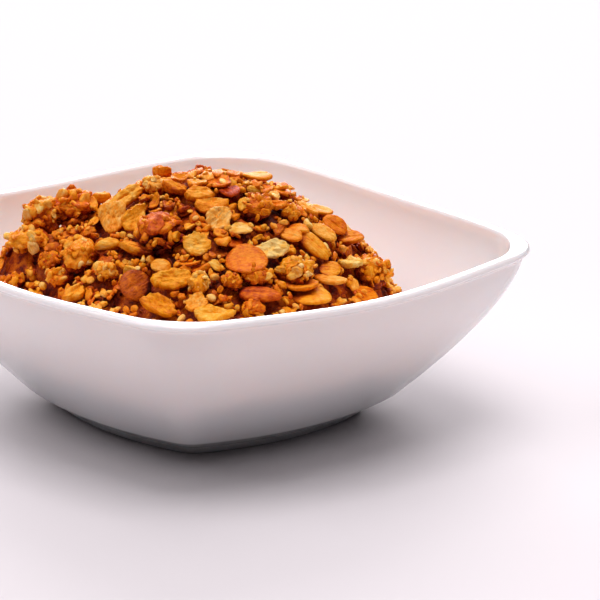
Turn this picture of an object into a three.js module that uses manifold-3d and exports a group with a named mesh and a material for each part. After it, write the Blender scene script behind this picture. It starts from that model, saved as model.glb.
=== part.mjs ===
// A bowl of baked muesli: a rounded-square porcelain bowl, 150 mm across its sides, holding one heap of
// toasted flakes, clusters and broken bits. Millimetres, +Z up. The origin is on the table under the middle
// of the bowl, and the bowl's four sides face along X and Y.
import * as THREE from "three";
import { mergeVertices } from "three/addons/utils/BufferGeometryUtils.js";
import Module from "manifold-3d";

const wasm = await Module();
wasm.setup();

// ---------- driving dimensions: the bowl ----------
const rimHalf = 75; // middle of the bowl to the middle of a side, at the lip
const rimHeight = 51; // table to the rim at a corner
const rimDip = 1.8; // how far the rim is lower at the middle of a side
const rimWidth = 3.8; // thickness of the rim at the middle of a side, and more at the rounder inner corners
const rimRound = 1.3; // height of the rounding over the rim
const lipHeight = 3; // the lip ends this far below the rim top,
const lipStep = 1.4; // and the wall is set in by this much
const kneeHalf = 46.3; // where the sloping base turns up into the wall
const kneeHeight = 6;
const wallFullness = 1.5; // 1 is a straight wall, and more is a rounder one
const footHalf = 38.3; // the foot ring under the base
const footHeight = 2;
const footWidth = 4;
const recessHeight = 1.2; // hollow inside the foot ring
const innerKneeHalf = 42.5; // the same turn on the inside
const innerKneeHeight = 8;
const floorHalf = 31; // the flat inside floor
const floorHeight = 6;

// An outline is a square with bowed sides and round corners. Bow and corner are shares of its half side.
const rimOutline = { bow: 0.147, corner: 0.279, innerCorner: 0.36 };
const footOutline = { bow: 0.254, corner: 0.178, innerCorner: 0.34 };
const pointsPerEighth = 6; // points round one eighth of an outline,
const crowding = 1.3; // closer together towards the corners the more this is over 1

// ---------- driving dimensions: the heap ----------
const heapGap = 0.35; // clearance from the bowl
const heapTop = 67.5; // table to the top of the heap's even form
const heapMiddle = { right: 0, back: 2 };
const sideFall = { fall: 28, over: 52, power: 1.9 }; // to the right and left: broad on top, steep further out
const depthFall = { slope: 0.8, round: 14 }; // to the front and back: a slope with a rounded crest
const shoulder = { right: -54, back: 0, height: 12, spread: 13 }; // a heavier left side
const coverDepth = 4.6; // thickness of loose pieces over the core
const coreSectors = 36;
const coreInset = 0.9; // the core's sides stay this far from the bowl

// Places on the heap are given as they are seen from in front of a corner of the bowl, in degrees and mm.
const view = { azimuth: -39.7, elevation: 16.9, distance: 1200, aim: 30 };

// Sizes of the seeded pieces: half length, width and thickness as shares of it, tilt in degrees, corners
const kinds = {
  flake: { half: [3.5, 5.2], wide: [0.7, 0.92], thick: [0.19, 0.25], tilt: 24, sides: 7 },
  cluster: { half: [4.2, 6.4], wide: [0.72, 0.95], thick: [0.58, 0.8], tilt: 30, sides: 0 },
  shard: { half: [2.3, 3.6], wide: [0.42, 0.8], thick: [0.26, 0.36], tilt: 34, sides: 5 },
};
const underCount = { cluster: 8, flake: 24, shard: 6 };
const overCount = { cluster: 12, flake: 66, shard: 50 };
const underDepth = 2.5; // the middles of the lower pieces lie at least this far below the even form
const tries = 28; // places tried for each seeded piece,
const strewnRadius = 66; // no further than this from the middle
const bite = 0.45; // how far a piece sinks into what it lies on
const biteShare = 0.04; // a fused piece shares at least this much of its volume with the heap,
const enoughBite = 1; // or this many cubic millimetres,
const mostDrop = 4; // and is lowered by up to this much to do so,
const dropStep = 0.5; // in steps
const fineLump = 5; // lumps of a larger half length have more facets
const lumpRelief = [0.86, 1.22]; // how far a lump's corners lie in or out of an even ball
const shardRelief = [0.85, 1.2]; // the same for the corners of a shard
const coreRelief = [-0.8, 0.8]; // how far the core's top lies off the even form
const seed = 20417;

// Pieces large enough to know one from another. Each row: kind, place across and up on the picture plane,
// half length, width and thickness as shares of it, turn in its own plane, lean to the front and to the right
const namedPieces = [
  ["cluster", -47, 24, 6.2, 0.9, 0.9, 20, 0, 0],
  ["cluster", -38, 26.5, 6.6, 0.85, 0.8, 10, 0, 0],
  ["cluster", -51, 17, 6.2, 0.75, 0.55, -12, 20, -10],
  ["cluster", -36.5, 13, 5.5, 0.9, 0.8, 50, 20, 0],
  ["cluster", -45, 11, 3.2, 0.9, 0.9, 0, 0, 0],
  ["cluster", -42, 7, 4.1, 0.75, 0.6, 15, 30, 0],
  ["cluster", -54, 5.5, 3.7, 0.7, 0.7, 30, 20, 0],
  ["cluster", -28.5, 8.5, 3.3, 0.8, 0.8, 0, 20, 0],
  ["cluster", -15, 33, 4.2, 0.7, 0.6, 20, 0, 0],
  ["cluster", -13.5, 19.5, 7.3, 0.85, 0.75, -20, 20, 0],
  ["cluster", -2.5, 5.5, 3.8, 0.75, 0.7, 80, 30, 0],
  ["cluster", 13, 27.5, 4.9, 0.95, 0.7, 0, 30, 0],
  ["cluster", 23, 26, 2.8, 0.85, 0.8, 0, 0, 0],
  ["cluster", 24.5, 9.5, 5.1, 0.85, 0.75, 0, 20, 0],
  ["cluster", 46.5, 9.5, 5.3, 0.95, 0.95, 0, 0, 0],
  ["cluster", 6.5, 6.5, 3.2, 0.85, 0.8, 0, 0, 0],
  ["cluster", 13.5, 8, 4.3, 0.7, 0.65, 0, 20, 0],
  ["cluster", 12.5, -1.5, 3.6, 0.7, 0.7, 0, 10, 0],
  ["flake", -27.5, 24, 5.2, 0.8, 0.2, 70, 55, -10],
  ["flake", -23, 30, 5.9, 0.48, 0.22, 42, 40, 0],
  ["flake", -20.5, 24, 4.4, 0.72, 0.22, 55, 50, 10],
  ["flake", -3.5, 16.5, 3.9, 0.85, 0.22, 0, 50, 0],
  ["flake", -20.5, 4.5, 4.9, 0.95, 0.25, 60, 45, 30],
  ["flake", -10.5, 6.5, 5.6, 0.62, 0.25, 0, 45, 0],
  ["flake", -13.5, 10.5, 2.9, 0.75, 0.25, 0, 35, 0],
  ["flake", -14, -1.5, 6.2, 0.42, 0.22, -32, 40, 0],
  ["flake", -3, 0, 3.5, 0.8, 0.25, 20, 45, 0],
  ["flake", 0.5, 28, 4.7, 0.65, 0.24, 8, 30, 0],
  ["flake", 2.5, 24, 4.1, 0.85, 0.2, 50, 55, 0],
  ["flake", 13.5, 36, 4.4, 0.8, 0.2, 0, 0, 2],
  ["flake", 19, 28, 2.8, 0.6, 0.3, 0, 15, 0],
  ["flake", 25, 21.5, 3.5, 0.75, 0.22, 0, 5, 0],
  ["flake", 23, 19.5, 3.6, 0.7, 0.24, -20, 28, 0],
  ["flake", 35.5, 22.5, 3.9, 0.72, 0.28, -25, 45, 15],
  ["flake", 31.5, 26.5, 3.6, 0.75, 0.24, -5, 8, 10],
  ["flake", 32, 20.5, 4.5, 0.5, 0.22, -35, 35, 0],
  ["flake", 29.5, 17, 5.9, 0.46, 0.2, -36, 38, 10],
  ["flake", 40, 19, 4.1, 0.65, 0.28, 10, 25, 0],
  ["flake", 18, 15.5, 4.8, 0.68, 0.17, -12, 42, 0],
  ["flake", 10.5, 12, 5.9, 0.95, 0.17, 10, 28, 0],
  ["flake", 34.5, 10, 3.1, 0.85, 0.22, 0, 35, 0],
  ["flake", 40, 12, 4.1, 0.6, 0.22, -8, 12, 0],
  ["flake", 26.5, 5, 4.9, 0.62, 0.2, 12, 10, 0],
  ["flake", 29.5, 2.5, 5.8, 0.85, 0.17, 3, 14, 0],
  ["flake", 34.5, 7, 5, 0.42, 0.17, -12, 15, 0],
  ["flake", 14.5, 2.5, 5.9, 0.5, 0.24, -3, 20, 0],
  ["flake", 2, -3.5, 5.3, 0.62, 0.2, 5, 20, 0],
  ["shard", -28.5, 16.5, 3.9, 0.5, 0.35, 5, 35, 0],
  ["shard", -20.5, 15, 4.9, 0.38, 0.3, -20, 30, 0],
  ["shard", -37.5, 2, 4.4, 0.5, 0.35, 42, 35, 0],
  ["shard", -3, 30.5, 4.7, 0.52, 0.35, 5, 30, 0],
  ["shard", -9.5, 32.5, 3.8, 0.42, 0.35, -30, 20, 0],
  ["shard", -13.5, 37, 2.8, 0.7, 0.5, 0, 0, 0],
  ["shard", -30.5, 29.5, 2.8, 0.7, 0.5, 0, 0, 0],
];

// ---------- outlines ----------
const mix = (a, b, t) => a + (b - a) * t;

// Distance to an arc at an angle off the line to its centre
function arcRadius(angle, centre, radius) {
  return centre * Math.cos(angle) + Math.sqrt(radius ** 2 - (centre * Math.sin(angle)) ** 2);
}

// Distance from the middle to the outline at an angle: a side arc, or a corner arc past where they meet
function outlineRadius(angle, half, bow, corner) {
  const sideRadius = (half * (1 + bow * bow)) / (2 * bow);
  const sideCentre = half - sideRadius;
  const cornerRadius = corner * half;
  const reach = sideRadius - cornerRadius;
  const cornerCentre = (sideCentre + Math.sqrt(2 * reach * reach - sideCentre * sideCentre)) / 2;
  const turn = Math.atan2(cornerCentre, cornerCentre - sideCentre);
  const meet = Math.atan2(sideRadius * Math.sin(turn), sideCentre + sideRadius * Math.cos(turn));
  const quarter = Math.PI / 2;
  const folded = Math.abs(angle - quarter * Math.round(angle / quarter));
  if (folded <= meet) return arcRadius(folded, sideCentre, sideRadius);
  return arcRadius(quarter / 2 - folded, cornerCentre * Math.SQRT2, cornerRadius);
}

// The outside or inside of a level section: its outline changes evenly from the foot's to the rim's.
function sectionRadius(angle, half, height, corner) {
  const t = height / rimHeight;
  const bow = mix(footOutline.bow, rimOutline.bow, t);
  return outlineRadius(angle, half, bow, mix(footOutline[corner], rimOutline[corner], t));
}
const outerRadius = (angle, half, height) => sectionRadius(angle, half, height, "corner");
const innerRadius = (angle, half, height) => sectionRadius(angle, half, height, "innerCorner");

// The rim and the wall near it dip towards the middle of each side.
const dipAt = (angle, height) => (rimDip * (1 + Math.cos(4 * angle)) * (height / rimHeight) ** 2) / 2;

function wallHalf(height, startHalf, startHeight, endHalf, endHeight) {
  const t = Math.min(1, Math.max(0, (height - startHeight) / (endHeight - startHeight)));
  return startHalf + (endHalf - startHalf) * (1 - (1 - t) ** wallFullness);
}

const outerTopHeight = rimHeight - lipHeight;
const innerTopHeight = rimHeight - rimRound;
const outerHalf = (height) => wallHalf(height, kneeHalf, kneeHeight, rimHalf - lipStep, outerTopHeight);

function innerHalf(height) {
  if (height < innerKneeHeight) {
    const t = Math.max(0, (height - floorHeight) / (innerKneeHeight - floorHeight));
    return mix(floorHalf, innerKneeHalf, Math.sqrt(t));
  }
  return wallHalf(height, innerKneeHalf, innerKneeHeight, rimHalf - rimWidth, innerTopHeight);
}

// Angles round an outline, closer together at the corners
const outlineAngles = [];
for (let eighth = 0; eighth < 8; eighth++) {
  for (let i = 0; i < pointsPerEighth; i++) {
    const t = i / pointsPerEighth;
    const share = eighth % 2 ? t ** crowding : 1 - (1 - t) ** crowding;
    outlineAngles.push(((eighth + share) * Math.PI) / 4);
  }
}

// ---------- meshes ----------
// Rings of points from one pole to the other, each ring with as many points, make one closed surface.
function loft(startPole, rings, endPole) {
  const positions = [...startPole];
  const count = rings[0].length;
  rings.forEach((ring) => ring.forEach((point) => positions.push(...point)));
  positions.push(...endPole);
  const last = rings.length * count + 1;
  const faces = [];
  for (let i = 0; i < count; i++) {
    const next = (i + 1) % count;
    faces.push(0, 1 + next, 1 + i);
    for (let r = 0; r + 1 < rings.length; r++) {
      const low = 1 + r * count;
      const high = low + count;
      faces.push(low + i, low + next, high + next, low + i, high + next, high + i);
    }
    faces.push(last, last - count + i, last - count + next);
  }
  const geometry = new THREE.BufferGeometry();
  geometry.setAttribute("position", new THREE.Float32BufferAttribute(positions, 3));
  geometry.setIndex(faces);
  return geometry;
}

function solidOf(geometry) {
  const bare = geometry.clone();
  bare.deleteAttribute("normal");
  bare.deleteAttribute("uv");
  const merged = mergeVertices(bare, 1e-4);
  const vertProperties = merged.getAttribute("position").array;
  const triVerts = new Uint32Array(merged.index.array);
  return new wasm.Manifold(new wasm.Mesh({ numProp: 3, vertProperties, triVerts }));
}

function geometryOf(solid) {
  const mesh = solid.getMesh();
  const geometry = new THREE.BufferGeometry();
  geometry.setAttribute("position", new THREE.BufferAttribute(new Float32Array(mesh.vertProperties), 3));
  geometry.setIndex(new THREE.BufferAttribute(new Uint32Array(mesh.triVerts), 1));
  geometry.computeVertexNormals();
  return geometry;
}

// ---------- the bowl ----------
const outsideHeights = [kneeHeight, 8.5, 13, 20, 28, 37, outerTopHeight];
const insideHeights = [floorHeight, floorHeight + 0.5, innerKneeHeight, 11, 16, 24, 33, 42];

function outerRing(half, height) {
  return outlineAngles.map((angle) => {
    const radius = outerRadius(angle, half, height);
    return [radius * Math.cos(angle), radius * Math.sin(angle), height - dipAt(angle, height)];
  });
}

// A ring of the inside, or one that stays clear of it by a gap
function innerRing(height, gap) {
  return outlineAngles.map((angle) => {
    const radius = innerRadius(angle, innerHalf(height), height) - gap;
    return [radius * Math.cos(angle), radius * Math.sin(angle), height - dipAt(angle, height)];
  });
}

// Over the rim, from the outside (turn 0) to the inside (turn pi)
function rimRing(turn) {
  const across = (1 - Math.cos(turn)) / 2;
  const height = innerTopHeight + rimRound * Math.sin(turn);
  return outlineAngles.map((angle) => {
    const outside = outerRadius(angle, rimHalf, rimHeight);
    const inside = innerRadius(angle, rimHalf - rimWidth, innerTopHeight);
    const radius = mix(outside, inside, across);
    return [radius * Math.cos(angle), radius * Math.sin(angle), height - dipAt(angle, height)];
  });
}

function bowlGeometry() {
  const foot = [
    outerRing(footHalf - footWidth - 0.6, recessHeight),
    outerRing(footHalf - footWidth, 0),
    outerRing(footHalf - 0.4, 0),
    outerRing(footHalf, footHeight - 0.4),
    outerRing(footHalf + 1.4, footHeight + 0.5),
  ];
  const outside = outsideHeights.map((z) => outerRing(outerHalf(z), z));
  const rim = [0, 0.25, 0.5, 0.75, 1].map((share) => rimRing(share * Math.PI));
  const inside = insideHeights.map((z) => innerRing(z, 0)).reverse();
  return loft([0, 0, recessHeight], [...foot, ...outside, ...rim, ...inside], [0, 0, floorHeight]);
}

// ---------- the heap's form ----------
const azimuth = THREE.MathUtils.degToRad(view.azimuth);
const elevation = THREE.MathUtils.degToRad(view.elevation);

// A place seen from the front, as x and y
function place(right, back) {
  const x = right * Math.cos(azimuth) - back * Math.sin(azimuth);
  const y = right * Math.sin(azimuth) + back * Math.cos(azimuth);
  return [x, y];
}

// Height of the finished heap's even form over a point
function heapHeight(x, y) {
  const right = x * Math.cos(azimuth) + y * Math.sin(azimuth);
  const back = y * Math.cos(azimuth) - x * Math.sin(azimuth);
  const aside = Math.abs(right - heapMiddle.right) / sideFall.over;
  const along = Math.hypot(back - heapMiddle.back, depthFall.round) - depthFall.round;
  const fromShoulder = Math.hypot(right - shoulder.right, back - shoulder.back) / shoulder.spread;
  const swell = shoulder.height * Math.exp(-fromShoulder * fromShoulder);
  return heapTop - sideFall.fall * aside ** sideFall.power - depthFall.slope * along + swell;
}

// Where the line of sight through a point of the picture plane meets the heap, or passes closest over it
function seenPlace(across, up) {
  let best = null;
  for (let forward = -70; forward < 70; forward += 0.5) {
    const scale = (view.distance + forward) / view.distance;
    const back = forward * Math.cos(elevation) + up * scale * Math.sin(elevation);
    const z = view.aim - forward * Math.sin(elevation) + up * scale * Math.cos(elevation);
    const [x, y] = place(across * scale, back);
    const over = z - heapHeight(x, y);
    if (!best || over < best.over) best = { over, x, y, z };
    if (over <= 0) break;
  }
  return best;
}

// Room inside the bowl at an angle and height, less the gap
function cavityRadius(angle, height) {
  const level = height + dipAt(angle, height);
  return innerRadius(angle, innerHalf(Math.min(level, innerTopHeight)), Math.min(level, rimHeight)) - heapGap;
}

// Where the core's top meets the wall, along one angle
function contactRadius(angle) {
  let low = 0;
  let high = 90;
  for (let i = 0; i < 40; i++) {
    const radius = (low + high) / 2;
    const height = heapHeight(radius * Math.cos(angle), radius * Math.sin(angle)) - coverDepth;
    if (height > floorHeight + 1 && radius < cavityRadius(angle, height)) low = radius;
    else high = radius;
  }
  return low;
}

function coreGeometry() {
  const angles = Array.from({ length: coreSectors }, (_, i) => (i * 2 * Math.PI) / coreSectors);
  const contacts = angles.map(contactRadius);
  const edgeHeights = angles.map((angle, i) => {
    return heapHeight(contacts[i] * Math.cos(angle), contacts[i] * Math.sin(angle)) - coverDepth;
  });
  const bottom = floorHeight + heapGap;
  const sides = [0, 0.06, 0.3, 0.65].map((share) =>
    angles.map((angle, i) => {
      const height = mix(bottom, edgeHeights[i], share);
      const radius = cavityRadius(angle, share ? height : floorHeight) - coreInset;
      return [radius * Math.cos(angle), radius * Math.sin(angle), height];
    }),
  );
  const top = [1, 0.86, 0.7, 0.54, 0.38, 0.2].map((share) =>
    angles.map((angle, i) => {
      const x = contacts[i] * share * Math.cos(angle);
      const y = contacts[i] * share * Math.sin(angle);
      const relief = share < 1 ? drawBetween(coreRelief) : 0;
      return [x, y, heapHeight(x, y) - coverDepth + relief];
    }),
  );
  return loft([0, 0, bottom], [...sides, ...top], [0, 0, heapHeight(0, 0) - coverDepth]);
}

// ---------- seeded draws ----------
let state = seed;
function draw() {
  state = (state * 1664525 + 1013904223) % 4294967296;
  return state / 4294967296;
}
const drawBetween = ([low, high]) => mix(low, high, draw());

// ---------- settling the pieces on the heap ----------
// The heap's top as it grows, on a square grid of cells
const cell = 1;
const gridHalf = 80;
const gridCount = (2 * gridHalf) / cell;
const grid = new Float64Array(gridCount * gridCount);
const cellMiddle = (i) => (i + 0.5) * cell - gridHalf;
for (let i = 0; i < gridCount; i++) {
  for (let j = 0; j < gridCount; j++) {
    grid[i * gridCount + j] = heapHeight(cellMiddle(i), cellMiddle(j)) - coverDepth;
  }
}
const cellAt = (x, y) => Math.floor((x + gridHalf) / cell) * gridCount + Math.floor((y + gridHalf) / cell);

// Points over the underside and top of a piece, turned and leaned, from its own middle
function surfacePoints(piece) {
  const points = [];
  const step = 0.8;
  const flat = piece.kind === "cluster" ? 2 : 6; // how square-edged the thickness is
  for (let u = -piece.length; u <= piece.length; u += step) {
    for (let v = -piece.width; v <= piece.width; v += step) {
      const inside = 1 - ((u / piece.length) ** 2 + (v / piece.width) ** 2) ** (flat / 2);
      if (inside < 0) continue;
      const w = piece.thick * Math.sqrt(inside);
      points.push(new THREE.Vector3(u, v, -w).applyQuaternion(piece.turn));
      points.push(new THREE.Vector3(u, v, w).applyQuaternion(piece.turn));
    }
  }
  return points;
}

// Height at which a piece comes to rest over a place, or null where it would cross the bowl
function restHeight(points, x, y) {
  let height = -Infinity;
  for (const p of points) {
    height = Math.max(height, grid[cellAt(x + p.x, y + p.y)] - p.z);
  }
  height -= bite;
  for (const p of points) {
    const px = x + p.x;
    const py = y + p.y;
    if (Math.hypot(px, py) > cavityRadius(Math.atan2(py, px), height + p.z)) return null;
  }
  return height;
}

// A turn about its own normal, then a lean about a level axis, laid on the heap's slope
function turnFor(x, y, yaw, lean, leanTowards) {
  const step = 2;
  const slopeX = (heapHeight(x + step, y) - heapHeight(x - step, y)) / (2 * step);
  const slopeY = (heapHeight(x, y + step) - heapHeight(x, y - step)) / (2 * step);
  const up = new THREE.Vector3(0, 0, 1);
  const normal = new THREE.Vector3(-slopeX, -slopeY, 1).normalize();
  const slope = new THREE.Quaternion().setFromUnitVectors(up, normal);
  const leanAxis = new THREE.Vector3(-Math.sin(leanTowards), Math.cos(leanTowards), 0);
  const leaned = new THREE.Quaternion().setFromAxisAngle(leanAxis, lean);
  return leaned.multiply(slope).multiply(new THREE.Quaternion().setFromAxisAngle(up, yaw));
}

function settle(piece, points, x, y, height) {
  for (const p of points) {
    const index = cellAt(x + p.x, y + p.y);
    grid[index] = Math.max(grid[index], height + p.z);
  }
  return { ...piece, x, y, z: height };
}

const keepClear = []; // the named pieces stay in view: later pieces keep off them

function seededPiece(kind, depth) {
  const range = kinds[kind];
  const length = drawBetween(range.half);
  const width = length * drawBetween(range.wide);
  const thick = length * drawBetween(range.thick);
  const piece = { kind, length, width, thick };
  const yaw = draw() * 2 * Math.PI;
  const lean = THREE.MathUtils.degToRad(range.tilt) * (draw() + draw() - draw());
  const leanTowards = draw() * 2 * Math.PI;
  let best = null;
  for (let i = 0; i < tries; i++) {
    const radius = strewnRadius * Math.sqrt(draw());
    const angle = draw() * 2 * Math.PI;
    const x = radius * Math.cos(angle);
    const y = radius * Math.sin(angle);
    if (keepClear.some((kept) => Math.hypot(x - kept.x, y - kept.y) < (kept.length + length) / 2)) continue;
    piece.turn = turnFor(x, y, yaw, lean, leanTowards);
    const points = surfacePoints(piece);
    const height = restHeight(points, x, y);
    if (height === null) continue;
    const proud = height - heapHeight(x, y);
    if (proud > -depth) continue;
    if (!best || proud < best.proud) best = { proud, points, x, y, height, turn: piece.turn };
  }
  if (!best) return null;
  return settle({ ...piece, turn: best.turn }, best.points, best.x, best.y, best.height);
}

function namedPiece([kind, across, up, half, wide, thick, turn, leanFront, leanRight]) {
  const { x, y, z } = seenPlace(across, up);
  const radians = THREE.MathUtils.degToRad;
  const turned = new THREE.Euler(radians(leanFront), radians(leanRight), radians(turn), "YXZ");
  const piece = { kind, length: half, width: half * wide, thick: half * thick };
  piece.turn = new THREE.Quaternion().setFromAxisAngle(new THREE.Vector3(0, 0, 1), azimuth);
  piece.turn.multiply(new THREE.Quaternion().setFromEuler(turned));
  keepClear.push({ x, y, length: half });
  return settle(piece, surfacePoints(piece), x, y, z);
}

function seededPieces(counts, depth) {
  return Object.entries(counts).flatMap(([kind, count]) => {
    return Array.from({ length: count }, () => seededPiece(kind, depth));
  });
}

// ---------- the pieces' own solids ----------
// A flat oval with straight edges; a shard has fewer, uneven sides
function flakeGeometry(piece) {
  const { sides } = kinds[piece.kind];
  const rims = Array.from({ length: sides }, (_, i) => {
    const angle = ((i + 0.5) * 2 * Math.PI) / sides;
    const reach = piece.kind === "shard" ? drawBetween(shardRelief) : 1;
    return [piece.length * reach * Math.cos(angle), piece.width * reach * Math.sin(angle)];
  });
  const shape = new THREE.Shape(rims.map(([x, y]) => new THREE.Vector2(x, y)));
  const flake = new THREE.ExtrudeGeometry(shape, { depth: 2 * piece.thick, bevelEnabled: false });
  return flake.translate(0, 0, -piece.thick);
}

// A lump: a ball of flat facets pushed in and out
function clusterGeometry(piece) {
  const detail = piece.length > fineLump ? 1 : 0;
  const geometry = new THREE.IcosahedronGeometry(1, detail);
  geometry.deleteAttribute("normal");
  geometry.deleteAttribute("uv");
  const ball = mergeVertices(geometry, 1e-4);
  const position = ball.getAttribute("position");
  for (let i = 0; i < position.count; i++) {
    const push = drawBetween(lumpRelief);
    position.setXYZ(i, position.getX(i) * push, position.getY(i) * push, position.getZ(i) * push);
  }
  return ball.scale(piece.length, piece.width, piece.thick);
}

function pieceSolid(piece) {
  const geometry = piece.kind === "cluster" ? clusterGeometry(piece) : flakeGeometry(piece);
  return solidOf(geometry.applyQuaternion(piece.turn).translate(piece.x, piece.y, piece.z));
}

// Each piece is lowered until it bites into the heap, and left out if it would then cross the bowl.
function fusedHeap(pieces, room) {
  let heap = solidOf(coreGeometry());
  for (const piece of pieces) {
    const whole = pieceSolid(piece);
    for (let drop = 0; drop < mostDrop; drop += dropStep) {
      const solid = whole.translate(0, 0, -drop);
      const shared = solid.intersect(heap).volume();
      if (shared < biteShare * solid.volume() && shared < enoughBite) continue;
      if (solid.subtract(room).isEmpty()) heap = heap.add(solid);
      break;
    }
  }
  return heap;
}

// The space that the heap may fill: the inside of the bowl less the gap, open upwards
function roomSolid() {
  const rings = insideHeights.map((height) => innerRing(height, heapGap));
  rings[0] = rings[0].map(([x, y, z]) => [x, y, z + heapGap]);
  const rim = innerRing(innerTopHeight, heapGap);
  const above = rim.map(([x, y]) => [x, y, 2 * rimHeight]);
  return solidOf(loft([0, 0, floorHeight + heapGap], [...rings, rim, above], [0, 0, 2 * rimHeight]));
}

// ---------- the scene graph ----------
const under = seededPieces(underCount, underDepth);
const named = namedPieces.map(namedPiece);
const over = seededPieces(overCount, 0);
const pieces = [...under, ...named, ...over].filter((piece) => piece !== null);
const heap = fusedHeap(pieces, roomSolid());

const porcelain = new THREE.MeshStandardMaterial({ color: 0xf1ebe6, roughness: 0.16, metalness: 0 });
const toasted = new THREE.MeshStandardMaterial({ color: 0xd0822e, roughness: 0.55, metalness: 0 });

const bowlMesh = new THREE.Mesh(bowlGeometry(), porcelain);
bowlMesh.name = "bowl";
const muesliMesh = new THREE.Mesh(geometryOf(heap), toasted);
muesliMesh.name = "muesli";

const group = new THREE.Group();
group.add(bowlMesh, muesliMesh);

export default group;
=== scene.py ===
import math

import bmesh
import bpy
import numpy as np
from mathutils import Matrix, Quaternion, Vector


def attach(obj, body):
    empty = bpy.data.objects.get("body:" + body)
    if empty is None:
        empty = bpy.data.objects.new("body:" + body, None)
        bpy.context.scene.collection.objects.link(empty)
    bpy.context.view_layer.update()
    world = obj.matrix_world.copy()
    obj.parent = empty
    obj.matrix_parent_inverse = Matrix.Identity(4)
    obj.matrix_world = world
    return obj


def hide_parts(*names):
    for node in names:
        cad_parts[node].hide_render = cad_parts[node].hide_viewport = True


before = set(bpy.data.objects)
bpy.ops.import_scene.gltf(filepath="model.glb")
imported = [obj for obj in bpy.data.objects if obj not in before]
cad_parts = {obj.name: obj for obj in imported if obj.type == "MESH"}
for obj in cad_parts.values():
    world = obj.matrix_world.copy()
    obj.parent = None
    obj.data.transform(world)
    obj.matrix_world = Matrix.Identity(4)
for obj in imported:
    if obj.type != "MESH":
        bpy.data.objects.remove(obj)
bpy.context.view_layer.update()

# A bowl of baked muesli. Sizes are in millimetres until a mesh is made, which is in metres.
mm = 0.001
scene = bpy.context.scene

# ---- the photograph's view: place, lens and framing on a 600 x 600 frame
photoView = {
    "azimuth": -39.7,
    "elevation": 16.858,
    "distance": 1201.2,
    "aimHeight": 30,
    "focalPixels": 4253.4,
    "framePixels": 600,
    "aimPixel": (207.8, 303.4),  # where the aimed point comes, from the frame's top left
    "roll": 0.022,
    "sensor": 36,
}


def unroll(pixel):
    # a pixel as right and down from the frame's middle, before the roll
    right = pixel[0] - photoView["framePixels"] / 2
    down = pixel[1] - photoView["framePixels"] / 2
    c, s = math.cos(photoView["roll"]), math.sin(photoView["roll"])
    return c * right + s * down, c * down - s * right


def addCamera():
    azimuth = math.radians(photoView["azimuth"])
    elevation = math.radians(photoView["elevation"])
    level = Vector((math.sin(azimuth), -math.cos(azimuth), 0))
    back = level * math.cos(elevation) + Vector((0, 0, math.sin(elevation)))
    aim = Vector((0, 0, photoView["aimHeight"]))
    right, down = unroll(photoView["aimPixel"])
    focal = photoView["focalPixels"]
    # tilt so that the aimed point comes that far down, then pan so that it comes that far right
    reach = math.sqrt(focal**2 + right**2 + down**2)
    tilt = math.asin(math.sin(elevation) * reach / math.hypot(focal, down)) - math.atan2(down, focal)
    pan = math.atan2(right, focal * math.cos(tilt) - down * math.sin(tilt))
    turn = Matrix.Rotation(azimuth + pan, 3, "Z") @ Matrix.Rotation(math.pi / 2 - tilt, 3, "X")
    turn = turn @ Matrix.Rotation(photoView["roll"], 3, "Z")
    lens = bpy.data.cameras.new("photoCamera")
    lens.sensor_width = photoView["sensor"]
    lens.lens = focal / photoView["framePixels"] * photoView["sensor"]
    lens.clip_start = 0.01
    lens.clip_end = 50
    camera = bpy.data.objects.new("photoCamera", lens)
    camera.location = (aim + back * photoView["distance"]) * mm
    camera.rotation_euler = turn.to_euler()
    scene.collection.objects.link(camera)
    scene.camera = camera


addCamera()
print("camera set")


# ---- materials
def setInputs(node, values):
    for name, value in values.items():
        node.inputs[name].default_value = value


def newFinish(name, values):
    finish = bpy.data.materials.new(name)
    finish.use_nodes = True
    setInputs(finish.node_tree.nodes["Principled BSDF"], values)
    return finish


def addNode(tree, kind, values={}):
    node = tree.nodes.new("ShaderNode" + kind)
    setInputs(node, values)
    return node


def readAttribute(tree, name):
    node = addNode(tree, "Attribute")
    node.attribute_name = name
    return node


# ---- light and floor
studio = {
    "sky": {"Color": (1.0, 0.9, 0.94, 1), "Strength": 0.02},
    "floorHalf": 40,  # metres
    "floor": {"Base Color": (0.66, 0.645, 0.655, 1), "Roughness": 0.7, "Specular IOR Level": 0.1},
    # soft lamps far off: lean from straight overhead and turn from the back, in degrees,
    # apparent width in degrees, and strength
    "lamps": {
        "backSoftbox": (70, 0, 38, 2.3),
        "backHigh": (35, 0, 38, 0.75),
        "overhead": (0, 0, 38, 1.95),
        "frontHigh": (30, 180, 38, 0.5),
        "leftFill": (40, -90, 38, 0.2),
        "rightFill": (40, 90, 38, 0.85),
    },
    "lampColour": (1.0, 0.935, 0.97),
}


def addLamp(name, lean, turn, width, strength):
    lamp = bpy.data.lights.new(name, "SUN")
    lamp.angle = math.radians(width)
    lamp.energy = strength
    lamp.color = studio["lampColour"]
    azimuth = math.radians(photoView["azimuth"] + 180 + turn)
    level = Vector((math.sin(azimuth), -math.cos(azimuth), 0))
    towards = level * math.sin(math.radians(lean)) + Vector((0, 0, math.cos(math.radians(lean))))
    light = bpy.data.objects.new(name, lamp)
    light.location = towards
    light.rotation_euler = towards.to_track_quat("Z", "Y").to_euler()
    scene.collection.objects.link(light)


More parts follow.
